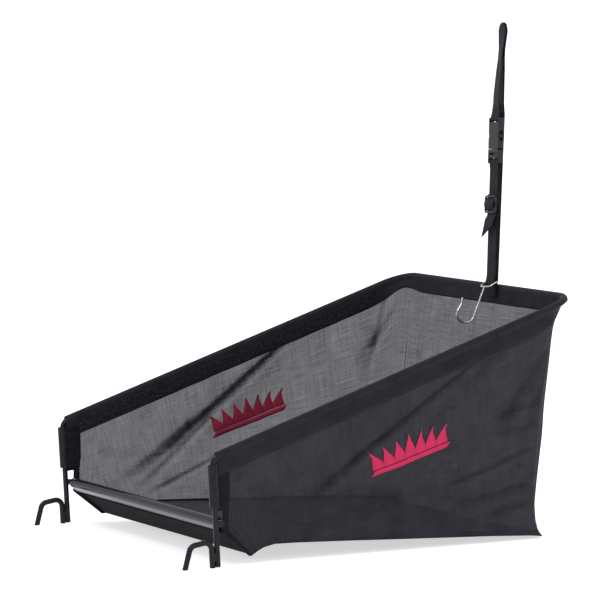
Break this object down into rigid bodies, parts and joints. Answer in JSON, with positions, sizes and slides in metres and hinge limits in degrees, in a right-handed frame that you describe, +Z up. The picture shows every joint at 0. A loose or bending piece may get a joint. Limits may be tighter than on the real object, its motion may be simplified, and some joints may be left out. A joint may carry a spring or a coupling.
{
  "type": "reel mower grass catcher",
  "caption": "Open-topped mesh grass catcher on a bent-rod frame, with a solid floor, two mouth hooks, and a webbing strap with a side-release buckle, adjuster and wire hook.",
  "frame": {"origin": "centre of the footprint, on the ground that the hooks and the bag's rear bottom edge rest on", "axes": "+X across the mouth, +Y from the mouth to the rear wall, +Z up along the upright strap"},
  "size_m": [0.391, 0.4946, 0.5682],
  "materials": {
    "black_paint": "glossy black powder coat on steel rod",
    "clip_plastic": "smooth extruded black plastic",
    "mesh_cloth": "open woven black mesh that lets some light through",
    "coated_cloth": "coated black cloth, faint sheen",
    "hem_cloth": "dense black cloth, stitched",
    "tape": "black binding and hook-and-loop tape",
    "webbing": "ribbed black webbing",
    "buckle_plastic": "black moulded plastic",
    "wire": "bright plated wire"
  },
  "bodies": {
    "frame_and_bag": {"rail_rod": "black_paint", "cross_rod": "black_paint", "hook_rod_left": "black_paint", "hook_rod_right": "black_paint", "weld_beads": "black_paint", "post_clip_left": "clip_plastic", "post_clip_right": "clip_plastic", "lip_clip": "clip_plastic", "side_mesh_left": "mesh_cloth", "side_mesh_right": "mesh_cloth", "rear_mesh": "mesh_cloth", "floor_panel": "coated_cloth", "front_apron": "coated_cloth", "rail_hem_left": "hem_cloth", "rail_hem_right": "hem_cloth", "rear_hem": "hem_cloth", "hook_tape_left": "tape", "hook_tape_right": "tape", "front_binding_left": "tape", "front_binding_right": "tape", "floor_seam_left": "tape", "floor_seam_right": "tape", "corner_seam_left": "tape", "corner_seam_right": "tape", "strap_anchor": "webbing"},
    "strap": {"strap_loop": "webbing", "buckle_socket": "buckle_plastic"},
    "plug": {"buckle_plug": "buckle_plastic"},
    "prong_left": {"buckle_prong_left": "buckle_plastic"},
    "prong_right": {"buckle_prong_right": "buckle_plastic"},
    "strap_end": {"strap_end": "webbing"},
    "adjuster": {"tri_glide": "buckle_plastic", "strap_tail": "webbing"},
    "wire_hook": {"wire_hook": "wire"}
  },
  "joints": [
    {"name": "strap_swing", "type": "hinge", "parent": "frame_and_bag", "child": "strap", "pos_m": [0.008, 0.23836, 0.2725], "axis": [-1, 0, 0], "range_deg": [0, 100]},
    {"name": "buckle_release", "type": "slide", "parent": "strap", "child": "plug", "axis": [0.0599, -0.0654, -0.9961], "range_m": [0, 0.03]},
    {"name": "prong_right_press", "type": "hinge", "parent": "plug", "child": "prong_right", "pos_m": [0.02246, 0.23553, 0.42679], "axis": [-0.0039, -0.9979, 0.0653], "range_deg": [0, 6], "stiffness_Nm_per_rad": 0.05},
    {"name": "prong_left_press", "type": "hinge", "parent": "plug", "child": "prong_left", "pos_m": [0.00928, 0.23553, 0.426], "axis": [0.0039, 0.9979, -0.0653], "range_deg": [0, 6], "stiffness_Nm_per_rad": 0.05},
    {"name": "strap_end_swing", "type": "hinge", "parent": "plug", "child": "strap_end", "pos_m": [0.0168, 0.23452, 0.41095], "axis": [-0.9982, 0, -0.06], "range_deg": [0, 60]},
    {"name": "adjuster_slide", "type": "slide", "parent": "strap_end", "child": "adjuster", "axis": [-0.0599, 0.0654, 0.9961], "range_m": [-0.025, 0.03]},
    {"name": "wire_hook_swing", "type": "hinge", "parent": "strap_end", "child": "wire_hook", "pos_m": [0.025, 0.22556, 0.2745], "axis": [-0.9982, 0, -0.06], "range_deg": [-15, 75]}
  ],
  "couplings": [
    {"joint": "prong_left_press", "follows": "prong_right_press", "ratio": 1}
  ]
}
